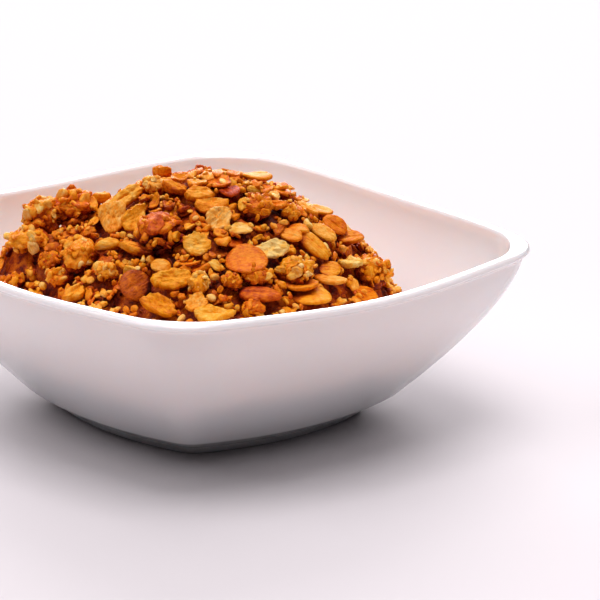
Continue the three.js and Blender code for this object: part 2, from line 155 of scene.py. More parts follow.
def addStudio():
    sky = bpy.data.worlds.new("studioSky")
    sky.use_nodes = True
    setInputs(sky.node_tree.nodes["Background"], studio["sky"])
    scene.world = sky
    for name, settings in studio["lamps"].items():
        addLamp(name, *settings)
    half = studio["floorHalf"]
    mesh = bpy.data.meshes.new("paleFloor")
    corners = [(-half, -half, 0), (half, -half, 0), (half, half, 0), (-half, half, 0)]
    mesh.from_pydata(corners, [], [(0, 1, 2, 3)])
    floor = bpy.data.objects.new("paleFloor", mesh)
    scene.collection.objects.link(floor)
    mesh.materials.append(newFinish("paleFloor", studio["floor"]))
    scene.view_settings.view_transform = "Standard"


addStudio()
print("studio lit")


# ---- shared shapes
def loftFaces(ringCount, around):
    # triangles of a closed surface: a pole, rings of as many points each, and a pole
    step = np.arange(around)
    after = (step + 1) % around
    last = ringCount * around + 1
    faces = [np.stack([np.zeros(around, int), 1 + after, 1 + step], 1)]
    for ring in range(ringCount - 1):
        low = 1 + ring * around
        high = low + around
        faces.append(np.stack([low + step, low + after, high + after], 1))
        faces.append(np.stack([low + step, high + after, high + step], 1))
    faces.append(np.stack([np.full(around, last), last - around + step, last - around + after], 1))
    return np.concatenate(faces)


def ballForm(subdivisions):
    ball = bmesh.new()
    bmesh.ops.create_icosphere(ball, subdivisions=subdivisions, radius=1)
    points = np.array([vertex.co for vertex in ball.verts])
    faces = np.array([[vertex.index for vertex in face.verts] for face in ball.faces])
    ball.free()
    return points, faces


def discForm(around, shares):
    # a flat disc's points as radius share, angle and side: 1 on top, 0 on the rim, -1 below
    angles = np.arange(around) * 2 * math.pi / around
    ringShares = list(shares) + [1] + list(shares)[::-1]
    ringSides = [1] * len(shares) + [0] + [-1] * len(shares)
    radius = np.concatenate([[0]] + [np.full(around, share) for share in ringShares] + [[0]])
    side = np.concatenate([[1]] + [np.full(around, float(value)) for value in ringSides] + [[-1]])
    angle = np.concatenate([[0], np.tile(angles, len(ringShares)), [0]])
    return radius, angle, side, loftFaces(len(ringShares), around)[:, ::-1]


def ripple(points, wavelength, rng, waves=7):
    # smooth unevenness, mostly between -1 and 1
    directions = rng.normal(size=(3, waves))
    directions /= np.linalg.norm(directions, axis=0)
    phases = rng.uniform(0, 2 * math.pi, waves)
    return np.sin(points @ directions * (2 * math.pi / wavelength) + phases).sum(1) / math.sqrt(waves)


def newPile():
    return {"points": [], "faces": [], "toast": [], "grain": [], "count": 0}


def addToPile(pile, points, faces, toast, grain):
    # toast: how dark, with painted shade added later in hollows, how near an edge, and a chance value. grain:
    # a place in the piece's own mm
    pile["points"].append(points)
    pile["faces"].append(faces + pile["count"])
    pile["toast"].append(toast)
    pile["grain"].append(grain)
    pile["count"] += len(points)


def makePiece(name, points, faces, finish, nodeName):
    mesh = bpy.data.meshes.new(name)
    mesh.from_pydata(points * mm, [], faces)
    mesh.update()
    mesh.shade_smooth()
    mesh.materials.append(finish)
    piece = bpy.data.objects.new(name, mesh)
    scene.collection.objects.link(piece)
    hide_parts(nodeName)
    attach(piece, "root")
    print(name, len(mesh.polygons), "faces")
    return piece


def writeAttribute(piece, name, kind, field, values):
    attribute = piece.data.attributes.new(name, kind, "POINT")
    attribute.data.foreach_set(field, values.ravel())


def makePile(name, pile, finish):
    points, faces = np.concatenate(pile["points"]), np.concatenate(pile["faces"])
    piece = makePiece(name, points, faces, finish, "muesli")
    toast = np.ones((len(points), 4))
    toast[:, :3] = np.concatenate(pile["toast"])
    writeAttribute(piece, "toast", "FLOAT_COLOR", "color", toast)
    writeAttribute(piece, "grain", "FLOAT_VECTOR", "vector", np.concatenate(pile["grain"]))


# ---- the bowl
bowl = {
    "rimHalf": 75,  # middle to the middle of a side
    "rimHeight": 51,
    "rimDip": 1.8,  # how far the rim is lower at the middle of a side
    "rimWidth": 3.8,
    "rimRound": 1.3,
    "rimSquare": 0.9,  # 1 is a plain half round
    "lipHeight": 3,
    "lipStep": 1.4,
    "kneeHalf": 46.3,
    "kneeHeight": 6,
    "wallFullness": 1.5,
    "footHalf": 38.3,
    "footHeight": 2,
    "footWidth": 4,
    "recessHeight": 1.2,
    "innerKneeHalf": 42.5,
    "innerKneeHeight": 8,
    "floorHalf": 31,
    "floorHeight": 6,
    "bow": (0.254, 0.147),  # of the outline's sides, at the foot and at the rim
    "corner": (0.178, 0.279),  # corner radius as a share of the half side
    "innerCorner": (0.34, 0.36),
    "around": 288,
    # painted shade: the outside glaze is painted darker than the inside, standing for the outer wall's shade
    "outerGlazePaintedShade": (0.80, 0.785, 0.79, 1),
    "innerGlazePaintedLight": (0.94, 0.935, 0.93, 1),  # painted light: a little whiter than outside, standing for the brighter light the inner wall gets
    "glaze": {
        "Coat Weight": 0.5,
        "Coat Roughness": 0.06,
        "Subsurface Weight": 0.8,  # thin porcelain lets some light through
        "Subsurface Radius": (1.0, 0.8, 0.72),
        "Subsurface Scale": 0.007,
        "IOR": 1.5,
    },
    "cloud": {"Scale": 22, "Detail": 3},  # faint unevenness of the glaze
    "brightness": {"To Min": 0.975, "To Max": 1.015},
    "gloss": {"To Min": 0.14, "To Max": 0.22},
    "skin": {"Scale": 90, "Detail": 1},  # its slow waviness
    "bump": {"Strength": 0.03, "Distance": 0.0004},
}
outerTopHeight = bowl["rimHeight"] - bowl["lipHeight"]
innerTopHeight = bowl["rimHeight"] - bowl["rimRound"]


def mix(a, b, t):
    return a + (b - a) * t


def arcRadius(angle, centre, radius):
    return centre * np.cos(angle) + np.sqrt(np.maximum(radius**2 - (centre * np.sin(angle)) ** 2, 0))


def outlineRadius(angle, half, bow, corner):
    # a square with bowed sides and round corners
    sideRadius = half * (1 + bow * bow) / (2 * bow)
    sideCentre = half - sideRadius
    cornerRadius = corner * half
    reach = sideRadius - cornerRadius
    cornerCentre = (sideCentre + np.sqrt(2 * reach * reach - sideCentre * sideCentre)) / 2
    turn = np.arctan2(cornerCentre, cornerCentre - sideCentre)
    meet = np.arctan2(sideRadius * np.sin(turn), sideCentre + sideRadius * np.cos(turn))
    quarter = math.pi / 2
    folded = np.abs(angle - quarter * np.floor(angle / quarter + 0.5))
    side = arcRadius(folded, sideCentre, sideRadius)
    bend = arcRadius(quarter / 2 - folded, cornerCentre * math.sqrt(2), cornerRadius)
    return np.where(folded <= meet, side, bend)


def sectionRadius(angle, half, height, corner):
    t = height / bowl["rimHeight"]
    return outlineRadius(angle, half, mix(*bowl["bow"], t), mix(*bowl[corner], t))


def dipAt(angle, height):
    return bowl["rimDip"] * (1 + np.cos(4 * angle)) * (height / bowl["rimHeight"]) ** 2 / 2


def wallHalf(height, startHalf, startHeight, endHalf, endHeight):
    t = np.clip((height - startHeight) / (endHeight - startHeight), 0, 1)
    return startHalf + (endHalf - startHalf) * (1 - (1 - t) ** bowl["wallFullness"])


def outerHalf(height):
    topHalf = bowl["rimHalf"] - bowl["lipStep"]
    return wallHalf(height, bowl["kneeHalf"], bowl["kneeHeight"], topHalf, outerTopHeight)


def innerHalf(height):
    low = bowl["floorHeight"]
    t = np.maximum(0, (height - low) / (bowl["innerKneeHeight"] - low))
    base = mix(bowl["floorHalf"], bowl["innerKneeHalf"], np.sqrt(t))
    topHalf = bowl["rimHalf"] - bowl["rimWidth"]
    wall = wallHalf(height, bowl["innerKneeHalf"], bowl["innerKneeHeight"], topHalf, innerTopHeight)
    return np.where(height < bowl["innerKneeHeight"], base, wall)


def polar(radius, angles):
    return radius * np.cos(angles), radius * np.sin(angles)


def ringAt(angles, radius, height):
    return np.stack([*polar(radius, angles), height - dipAt(angles, height)], 1)


def bowlRings():
    angles = np.arange(bowl["around"]) * 2 * math.pi / bowl["around"]

    def section(half, z, corner="corner"):
        return ringAt(angles, sectionRadius(angles, half, z, corner), z)

    foot, top, recess = bowl["footHalf"], bowl["footHeight"], bowl["recessHeight"]
    inner = foot - bowl["footWidth"]
    base = [
        (inner - 1.2, recess),
        (inner - 0.7, recess - 0.1),
        (inner - 0.3, 0.35),
        (inner + 0.1, 0.05),
        (inner + 0.6, 0),
        (foot - 1, 0),
        (foot - 0.5, 0.08),
        (foot - 0.15, 0.4),
        (foot, 0.9),
        (foot, top - 0.4),
        (foot + 0.3, top),
        (foot + 0.9, top + 0.35),
        (foot + 2, top + 0.8),
    ]
    kneeHeight, kneeHalf = bowl["kneeHeight"], bowl["kneeHalf"]
    start = base[-1]
    # the sloping base, turned up into the wall over a short round
    for share in (0.3, 0.6, 0.8):
        base.append((mix(start[0], kneeHalf - 0.3, share), mix(start[1], kneeHeight, share)))
    rings = [section(half, z) for half, z in base]
    wallHeights = np.linspace(kneeHeight + 1.4, outerTopHeight, 34)
    heights = np.concatenate([[kneeHeight + 0.1, kneeHeight + 0.6], wallHeights])
    rings += [section(outerHalf(z), z) for z in heights]
    outside = sectionRadius(angles, bowl["rimHalf"], bowl["rimHeight"], "corner")
    wallTop = sectionRadius(angles, outerHalf(outerTopHeight), outerTopHeight, "corner")
    for share in (0.25, 0.5, 0.75):  # the lip swells out of the wall
        swell = share * share * (3 - 2 * share)
        height = mix(outerTopHeight, innerTopHeight, share)
        rings.append(ringAt(angles, mix(wallTop, outside, swell), height))
    inside = sectionRadius(angles, bowl["rimHalf"] - bowl["rimWidth"], innerTopHeight, "innerCorner")
    for turn in np.linspace(0, math.pi, 21):
        height = innerTopHeight + bowl["rimRound"] * math.sin(turn) ** bowl["rimSquare"]
        across = math.copysign(abs(math.cos(turn)) ** bowl["rimSquare"], math.cos(turn))
        rings.append(ringAt(angles, mix(outside, inside, (1 - across) / 2), height))
    down = np.linspace(innerTopHeight, bowl["innerKneeHeight"], 34)[1:]
    bottom = bowl["floorHeight"] + np.array([1.5, 1, 0.6, 0.3, 0.1, 0])
    rings += [section(innerHalf(z), z, "innerCorner") for z in np.concatenate([down, bottom])]
    return rings


def glazedPorcelain():
    finish = newFinish("glazedPorcelain", bowl["glaze"])
    tree = finish.node_tree
    shader = tree.nodes["Principled BSDF"]
    spot = addNode(tree, "TexCoord")
    cloud = addNode(tree, "TexNoise", bowl["cloud"])
    skin = addNode(tree, "TexNoise", bowl["skin"])
    within = readAttribute(tree, "inside")
    # painted light and shade: the glaze colour is mixed from the darker outside to the whiter inside
    glaze = addNode(tree, "Mix")
    glaze.data_type = "RGBA"
    setInputs(glaze, {"A": bowl["outerGlazePaintedShade"], "B": bowl["innerGlazePaintedLight"]})
    tint = addNode(tree, "HueSaturation")
    brightness = addNode(tree, "MapRange", bowl["brightness"])
    gloss = addNode(tree, "MapRange", bowl["gloss"])
    bump = addNode(tree, "Bump", bowl["bump"])
    for source, output, target, socket in (
        (spot, "Object", cloud, "Vector"),
        (spot, "Object", skin, "Vector"),
        (within, "Fac", glaze, "Factor"),
        (glaze, "Result", tint, "Color"),
        (cloud, "Fac", brightness, "Value"),
        (brightness, "Result", tint, "Value"),
        (cloud, "Fac", gloss, "Value"),
        (tint, "Color", shader, "Base Color"),
        (gloss, "Result", shader, "Roughness"),
        (skin, "Fac", bump, "Height"),
        (bump, "Normal", shader, "Normal"),
    ):
        tree.links.new(source.outputs[output], target.inputs[socket])
    return finish


def addBowl():
    rings = bowlRings()
    poles = [[0, 0, bowl["recessHeight"]]], [[0, 0, bowl["floorHeight"]]]
    points = np.concatenate([poles[0], *rings, poles[1]])
    faces = loftFaces(len(rings), bowl["around"])
    piece = makePiece("porcelainBowl", points, faces, glazedPorcelain(), "bowl")
    # where the glaze is painted whiter as painted light: 0 outside and 1 inside, from just past the highest
    # ring
    lip = max(range(len(rings)), key=lambda ring: rings[ring][0, 2])
    steps = np.clip((np.arange(len(rings)) - lip) / 10 - 0.5, 0, 1)
    inside = np.concatenate([[0], np.repeat(steps, bowl["around"]), [1]])
    writeAttribute(piece, "inside", "FLOAT", "value", inside)


addBowl()
print("bowl made")

# ---- the heap's form and where its pieces settle
heap = {
    "gap": 0.35,  # clearance from the bowl
    "top": 67.5,
    "middle": (0, 2),  # right and back, as seen from the front
    "sideFall": (28, 52, 1.9),  # fall, over this far aside, and power
    "depthFall": (0.8, 14),  # slope, and how far the crest is round
    "shoulder": (-54, 0, 12, 13),  # right, back, height and spread of the heavier left side
    "cover": 4.6,  # thickness of loose pieces over the core
    "coreInset": 0.9,
    "viewAzimuth": -39.7,  # the photograph's view, rounded: the plain solid's pieces settle by it
    "viewElevation": 16.9,
    "viewDistance": 1200,
    "viewAim": 30,
    "cell": 1.0,
    "gridHalf": 80,
    "seed": 20417,
}
heapAzimuth = math.radians(heap["viewAzimuth"])
heapElevation = math.radians(heap["viewElevation"])
cosTurn, sinTurn = math.cos(heapAzimuth), math.sin(heapAzimuth)
cosRise, sinRise = math.cos(heapElevation), math.sin(heapElevation)


def place(right, back):
    return right * cosTurn - back * sinTurn, right * sinTurn + back * cosTurn


def rightOf(x, y):
    return x * cosTurn + y * sinTurn


def backOf(x, y):
    return y * cosTurn - x * sinTurn


def nearness(forward):
    return (heap["viewDistance"] + forward) / heap["viewDistance"]


def heapHeight(x, y):
    right, back = rightOf(x, y), backOf(x, y)
    fall, over, power = heap["sideFall"]
    slope, crest = heap["depthFall"]
    shoulderRight, shoulderBack, shoulderHeight, spread = heap["shoulder"]
    aside = np.abs(right - heap["middle"][0]) / over
    along = np.hypot(back - heap["middle"][1], crest) - crest
    fromShoulder = np.hypot(right - shoulderRight, back - shoulderBack) / spread
    swell = shoulderHeight * np.exp(-fromShoulder * fromShoulder)
    return heap["top"] - fall * aside**power - slope * along + swell


def seenPlace(across, up):
    # where the line of sight through a point of the picture plane meets the heap, or passes closest over it
    forward = np.arange(-70, 70, 0.5)
    scale = nearness(forward)
    x, y = place(across * scale, forward * cosRise + up * scale * sinRise)
    z = heap["viewAim"] - forward * sinRise + up * scale * cosRise
    over = z - heapHeight(x, y)
    hits = np.nonzero(over <= 0)[0]
    best = hits[0] if len(hits) else int(np.argmin(over))
    return x[best], y[best], z[best]


def seenFrom(points):
    # points as across and up on the picture plane, and how far behind it
    x, y, rise = points[:, 0], points[:, 1], points[:, 2] - heap["viewAim"]
    right, back = rightOf(x, y), backOf(x, y)
    forward = back * cosRise - rise * sinRise
    scale = nearness(forward)
    return right / scale, (back * sinRise + rise * cosRise) / scale, forward


def cavityRadius(angle, height):
    level = height + dipAt(angle, height)
    half = innerHalf(np.minimum(level, innerTopHeight))
    return sectionRadius(angle, half, np.minimum(level, bowl["rimHeight"]), "innerCorner") - heap["gap"]


class Draws:
    # the same seeded draws as the plain solid's, so that its large pieces come to the same places
    def __init__(self, seed):
        self.state = seed

    def draw(self):
        self.state = (self.state * 1664525 + 1013904223) % 4294967296
        return self.state / 4294967296

    def between(self, span):
        return mix(span[0], span[1], self.draw())


class HeightGrid:
    # the heap's top as it grows over the form it starts from
    def __init__(self, cell, form):
        self.cell = cell
        self.half = heap["gridHalf"]
        self.count = int(round(2 * self.half / cell))
        self.middles = (np.arange(self.count) + 0.5) * cell - self.half
        self.bottom = form(*np.meshgrid(self.middles, self.middles, indexing="ij"))
        self.top = self.bottom.copy()

    def at(self, x, y):
        i = np.floor((x + self.half) / self.cell).astype(int)
        j = np.floor((y + self.half) / self.cell).astype(int)
        return np.clip(i, 0, self.count - 1), np.clip(j, 0, self.count - 1)

    def rest(self, points, x, y):
        i, j = self.at(x + points[:, 0], y + points[:, 1])
        return (self.top[i, j] - points[:, 2]).max()

    def cover(self, points, x, y, z):
        i, j = self.at(x + points[:, 0], y + points[:, 1])
        np.maximum.at(self.top, (i, j), z + points[:, 2])


def insideBowl(points, x, y, z):
    px, py = x + points[:, 0], y + points[:, 1]
    return bool((np.hypot(px, py) <= cavityRadius(np.arctan2(py, px), z + points[:, 2])).all())


def surfacePoints(size, isLump, turn, step=0.8):
    # points over both sides of a plain piece, which stands for the real one while it settles
    length, width, thick = size
    along, across = np.arange(-length, length + 1e-9, step), np.arange(-width, width + 1e-9, step)
    u, v = np.meshgrid(along, across, indexing="ij")
    u, v = u.ravel(), v.ravel()
    inside = 1 - ((u / length) ** 2 + (v / width) ** 2) ** (1 if isLump else 3)
    kept = inside >= 0
    u, v, w = u[kept], v[kept], thick * np.sqrt(inside[kept])
    both = np.concatenate([np.stack([u, v, -w], 1), np.stack([u, v, w], 1)])
    return both @ np.array(turn).T


def slopeTurn(x, y, yaw, lean, leanTowards):
    # a turn about its own normal, laid on the heap's slope, then a lean about a level axis
    step = 2
    slopeX = (heapHeight(x + step, y) - heapHeight(x - step, y)) / (2 * step)
    slopeY = (heapHeight(x, y + step) - heapHeight(x, y - step)) / (2 * step)
    slope = Vector((0, 0, 1)).rotation_difference(Vector((-slopeX, -slopeY, 1)).normalized())
    leaned = Quaternion((-math.sin(leanTowards), math.cos(leanTowards), 0), lean)
    return (leaned @ slope @ Quaternion((0, 0, 1), yaw)).to_matrix()


# ---- the large pieces, which settle first
tones = {
    "cream": 0.04,
    "pale": 0.13,
    "golden": 0.22,
    "amber": 0.32,
    "toasted": 0.42,
    "brown": 0.54,
    "dark": 0.64,
}

# kind (a cluster of crumbs, a papery flake, a smooth disc or a broken shard), place across and up
# on the picture plane, half length, width and thickness as shares of it, turn in its own plane, lean to
# the front and to the right, and how toasted it is
namedPieces = [
    ("cluster", -47, 24, 6.2, 0.9, 0.9, 20, 0, 0, "golden"),
    ("cluster", -38, 26.5, 6.6, 0.85, 0.8, 10, 0, 0, "amber"),
    ("cluster", -51, 17, 6.2, 0.75, 0.55, -12, 20, -10, "golden"),
    ("cluster", -36.5, 13, 5.5, 0.9, 0.8, 50, 20, 0, "golden"),
    ("cluster", -45, 11, 3.2, 0.9, 0.9, 0, 0, 0, "toasted"),
    ("cluster", -42, 7, 4.1, 0.75, 0.6, 15, 30, 0, "amber"),
    ("cluster", -54, 5.5, 3.7, 0.7, 0.7, 30, 20, 0, "toasted"),
    ("cluster", -28.5, 8.5, 3.3, 0.8, 0.8, 0, 20, 0, "golden"),
    ("cluster", -15, 33, 4.2, 0.7, 0.6, 20, 0, 0, "pale"),
    ("cluster", -13.5, 19.5, 7.3, 0.85, 0.75, -20, 20, 0, "toasted"),
    ("cluster", -2.5, 5.5, 3.8, 0.75, 0.7, 80, 30, 0, "golden"),
    ("cluster", 13, 27.5, 4.9, 0.95, 0.7, 0, 30, 0, "toasted"),
    ("cluster", 23, 26, 2.8, 0.85, 0.8, 0, 0, 0, "amber"),
    ("cluster", 24.5, 9.5, 5.1, 0.85, 0.75, 0, 20, 0, "golden"),
    ("cluster", 46.5, 9.5, 5.3, 0.95, 0.95, 0, 0, 0, "amber"),
    ("cluster", 6.5, 6.5, 3.2, 0.85, 0.8, 0, 0, 0, "toasted"),
    ("cluster", 13.5, 8, 4.3, 0.7, 0.65, 0, 20, 0, "amber"),
    ("cluster", 12.5, -1.5, 3.6, 0.7, 0.7, 0, 10, 0, "toasted"),
    ("flake", -27.5, 24, 5.2, 0.8, 0.2, 70, 55, -10, "golden"),
    ("flake", -23, 30, 5.9, 0.48, 0.22, 42, 40, 0, "golden"),
    ("flake", -20.5, 24, 4.4, 0.72, 0.22, 55, 50, 10, "amber"),
    ("flake", -3.5, 16.5, 3.9, 0.85, 0.22, 0, 50, 0, "golden"),
    ("disc", -20.5, 4.5, 4.9, 0.95, 0.25, 60, 45, 30, "dark"),
    ("flake", -10.5, 6.5, 5.6, 0.62, 0.25, 0, 45, 0, "amber"),
    ("disc", -13.5, 10.5, 2.9, 0.75, 0.25, 0, 35, 0, "golden"),
    ("flake", -14, -1.5, 6.2, 0.42, 0.22, -32, 40, 0, "toasted"),
    ("flake", -3, 0, 3.5, 0.8, 0.25, 20, 45, 0, "golden"),
    ("flake", 0.5, 28, 4.7, 0.65, 0.24, 8, 30, 0, "amber"),
    ("flake", 2.5, 24, 4.1, 0.85, 0.2, 50, 55, 0, "pale"),
    ("disc", 13.5, 36, 4.4, 0.8, 0.2, 0, 0, 2, "amber"),
    ("flake", 19, 28, 2.8, 0.6, 0.3, 0, 15, 0, "amber"),
    ("disc", 25, 21.5, 3.5, 0.75, 0.22, 0, 5, 0, "amber"),
    ("disc", 23, 19.5, 3.6, 0.7, 0.24, -20, 28, 0, "amber"),
    ("disc", 35.5, 22.5, 3.9, 0.72, 0.28, -25, 45, 15, "toasted"),
    ("disc", 31.5, 26.5, 3.6, 0.75, 0.24, -5, 8, 10, "amber"),
    ("disc", 32, 20.5, 4.5, 0.5, 0.22, -35, 35, 0, "golden"),
    ("disc", 29.5, 17, 5.9, 0.46, 0.2, -36, 38, 10, "amber"),
    ("disc", 40, 19, 4.1, 0.65, 0.28, 10, 25, 0, "toasted"),
    ("flake", 18, 15.5, 4.8, 0.68, 0.17, -12, 42, 0, "cream"),
    ("disc", 10.5, 12, 5.9, 0.95, 0.17, 10, 28, 0, "toasted"),
    ("disc", 34.5, 10, 3.1, 0.85, 0.22, 0, 35, 0, "amber"),
    ("flake", 40, 12, 4.1, 0.6, 0.22, -8, 12, 0, "pale"),
    ("disc", 26.5, 5, 4.9, 0.62, 0.2, 12, 10, 0, "toasted"),
    ("disc", 29.5, 2.5, 5.8, 0.85, 0.17, 3, 14, 0, "amber"),
    ("disc", 34.5, 7, 5, 0.42, 0.17, -12, 15, 0, "golden"),
    ("disc", 14.5, 2.5, 5.9, 0.5, 0.24, -3, 20, 0, "brown"),
    ("flake", 2, -3.5, 5.3, 0.62, 0.2, 5, 20, 0, "golden"),
    ("shard", -28.5, 16.5, 3.9, 0.5, 0.35, 5, 35, 0, "golden"),
    ("shard", -20.5, 15, 4.9, 0.38, 0.3, -20, 30, 0, "amber"),
    ("shard", -37.5, 2, 4.4, 0.5, 0.35, 42, 35, 0, "amber"),
    ("shard", -3, 30.5, 4.7, 0.52, 0.35, 5, 30, 0, "amber"),
    ("shard", -9.5, 32.5, 3.8, 0.42, 0.35, -30, 20, 0, "toasted"),
    ("shard", -13.5, 37, 2.8, 0.7, 0.5, 0, 0, 0, "amber"),
    ("shard", -30.5, 29.5, 2.8, 0.7, 0.5, 0, 0, 0, "amber"),
]
strewn = {
    "flake": {"half": (3.5, 5.2), "wide": (0.7, 0.92), "thick": (0.19, 0.25), "tilt": 24},
    "cluster": {"half": (4.2, 6.4), "wide": (0.72, 0.95), "thick": (0.58, 0.8), "tilt": 30},
    "shard": {"half": (2.3, 3.6), "wide": (0.42, 0.8), "thick": (0.26, 0.36), "tilt": 34},
    "under": {"cluster": 8, "flake": 24, "shard": 6},
    "over": {"cluster": 12, "flake": 66, "shard": 50},
    "underDepth": 2.5,
    "tries": 28,
    "radius": 66,
    "bite": 0.45,
}


def settleLargePieces():
    draws = Draws(heap["seed"])
    grid = HeightGrid(heap["cell"], lambda x, y: heapHeight(x, y) - heap["cover"])
    keepClear = []
    settled = []

    def settle(kind, size, points, spot, turn, toast=None):
        grid.cover(points, *spot)
        piece = {"kind": kind, "size": size, "spot": spot, "turn": turn, "toast": toast}
        settled.append({**piece, "named": toast is not None})

    def strewnPiece(kind, depth):
        span = strewn[kind]
        length = draws.between(span["half"])
        size = length, length * draws.between(span["wide"]), length * draws.between(span["thick"])
        yaw = draws.draw() * 2 * math.pi
        lean = math.radians(span["tilt"]) * (draws.draw() + draws.draw() - draws.draw())
        leanTowards = draws.draw() * 2 * math.pi
        best = None
        for _ in range(strewn["tries"]):
            radius = strewn["radius"] * math.sqrt(draws.draw())
            angle = draws.draw() * 2 * math.pi
            x, y = radius * math.cos(angle), radius * math.sin(angle)
            if any(math.hypot(x - kx, y - ky) < (kept + length) / 2 for kx, ky, kept in keepClear):
                continue
            turn = slopeTurn(x, y, yaw, lean, leanTowards)
            points = surfacePoints(size, kind == "cluster", turn)
            z = grid.rest(points, x, y) - strewn["bite"]
            if not insideBowl(points, x, y, z):
                continue
            proud = z - heapHeight(x, y)
            if proud <= -depth and (best is None or proud < best[0]):
                best = (proud, points, (x, y, z), turn)
        if best is not None:
            settle(kind, size, *best[1:])

    def namedPiece(row):
        kind, across, up, half, wide, thick, turnDegrees, leanFront, leanRight, toastWord = row
        spot = seenPlace(across, up)
        turn = Matrix.Rotation(heapAzimuth, 3, "Z")
        turn = turn @ Matrix.Rotation(math.radians(leanRight), 3, "Y")
        turn = turn @ Matrix.Rotation(math.radians(leanFront), 3, "X")
        turn = turn @ Matrix.Rotation(math.radians(turnDegrees), 3, "Z")
        size = half, half * wide, half * thick
        points = surfacePoints(size, kind == "cluster", turn)
        keepClear.append((spot[0], spot[1], half))
        settle(kind, size, points, spot, turn, tones[toastWord])

    for kind, count in strewn["under"].items():
        for _ in range(count):
            strewnPiece(kind, strewn["underDepth"])
    for row in namedPieces:
        namedPiece(row)
    for kind, count in strewn["over"].items():
        for _ in range(count):
            strewnPiece(kind, 0)
    return settled


largePieces = settleLargePieces()
print("large pieces settled:", len(largePieces))

# ---- forms of the pieces
tinyDisc = discForm(10, (0.6, 0.92))
smallDisc = discForm(14, (0.65, 0.93))
coarseDisc = discForm(12, (0.45, 0.75, 0.93))
middleDisc = discForm(22, (0.3, 0.55, 0.75, 0.88, 0.96))
fineDisc = discForm(44, (0.12, 0.24, 0.36, 0.48, 0.6, 0.7, 0.79, 0.87, 0.93, 0.97))
crumbBall = ballForm(2)
lumpBall = ballForm(4)
bigLumpBall = ballForm(5)


def flakePoints(disc, size, rng, look):
    # a rolled flake: an oval, uneven and ragged at the edge, bent, twisted and a little rough
    length, width, thick = size
    radius, angle, side, faces = disc
    around = np.stack([np.cos(angle), np.sin(angle), np.zeros_like(angle)], 1)
    outline = 1 + look["uneven"] * (0.09 * ripple(around, 2.6, rng) + 0.05 * ripple(around, 1.2, rng))
    outline += look["ragged"] * (0.04 * ripple(around, 0.6, rng) + 0.035 * ripple(around, 0.32, rng))
    whole = outline
    for _ in range(rng.poisson(look["breaks"])):  # straight broken edges
        facing = np.cos(angle - rng.uniform(0, 2 * math.pi))
        cut = rng.uniform(0.55, 0.9) / np.maximum(facing, 0.05)
        outline = np.where(facing > 0.05, -np.log(np.exp(-14 * outline) + np.exp(-14 * cut)) / 14, outline)
    x = length * outline * radius * np.cos(angle)
    y = width * outline * radius * np.sin(angle)
    u, v = x / length, y / width
    body = thick * np.clip(1 - radius ** look["plump"], 0, 1) ** 0.5 * side
    z = body + look["cup"] * thick * rng.uniform(-0.5, 1) * (u * u + v * v)
    z = z + look["bend"] * length * rng.normal() * 0.1 * u * u
    z = z + look["bend"] * width * rng.normal() * 0.12 * u * v
    z = z + look["bend"] * width * abs(rng.normal()) * 0.12 * v * v
    groove = np.exp(-(((v - rng.uniform(-0.2, 0.2)) / 0.12) ** 2)) * np.clip(1 - u * u, 0, 1)
    z = z - look["groove"] * thick * rng.uniform(0, 1) * groove * side
    points = np.stack([x, y, z], 1)
    lumps = ripple(points, 3.4, rng) * 0.5 + ripple(points, 1.5, rng) * 0.35 + ripple(points, 0.8, rng) * 0.2
    points[:, 2] += look["rough"] * lumps
    creases = np.abs(ripple(points * (0.6, 1, 1), 2.6, rng)) + 0.5 * np.abs(ripple(points, 1.3, rng))
    points[:, 2] += look["crinkle"] * (0.7 - creases)
    points[:, :2] += 0.4 * look["rough"] * np.stack([ripple(points, 1.2, rng), ripple(points, 1.2, rng)], 1)
    broken = np.clip((whole - outline) * 4, 0, 1)
    edge = np.clip((radius - 0.6) / 0.4, 0, 1) * (1 - 2 * broken)
    return points, faces, edge


def lumpPoints(ball, size, rng, relief):
    # a crumbly lump: knobs with creases between them
    points, faces = ball
    knobs = 0.9 - np.abs(ripple(points, 1.5, rng)) * 0.6 - np.abs(ripple(points, 0.7, rng)) * 0.35
    bulge = 1 + relief * (knobs + 0.5 * ripple(points, 2.6, rng) + 0.15 * ripple(points, 0.35, rng))
    shaped = points * bulge[:, None] * np.array(size)
    edge = np.clip((bulge - 1) / relief, -1, 1)
    return shaped, faces, edge


def toastOf(count, tone, edge, rng):
    values = np.empty((count, 3))
    values[:, 0] = tone
    values[:, 1] = 0.5 + 0.5 * edge
    values[:, 2] = rng.uniform()
    return values


def randomTurn(rng, normal, tilt):
    # a turn whose up points along the normal, give or take the tilt in degrees
    up = Vector(normal).normalized()
    lean = Vector(rng.normal(size=3)) * math.tan(math.radians(tilt)) * 0.6
    towards = (up + lean).normalized()
    turn = Vector((0, 0, 1)).rotation_difference(towards) @ Quaternion((0, 0, 1), rng.uniform(0, 2 * math.pi))
    return np.array(turn.to_matrix())


def put(pile, form, turn, spot, tone, rng):
    points, faces, edge = form
    placed = points @ np.array(turn).T + np.array(spot)
    grain = points + rng.uniform(-50, 50, 3)
    addToPile(pile, placed, faces, toastOf(len(points), tone, edge, rng), grain)


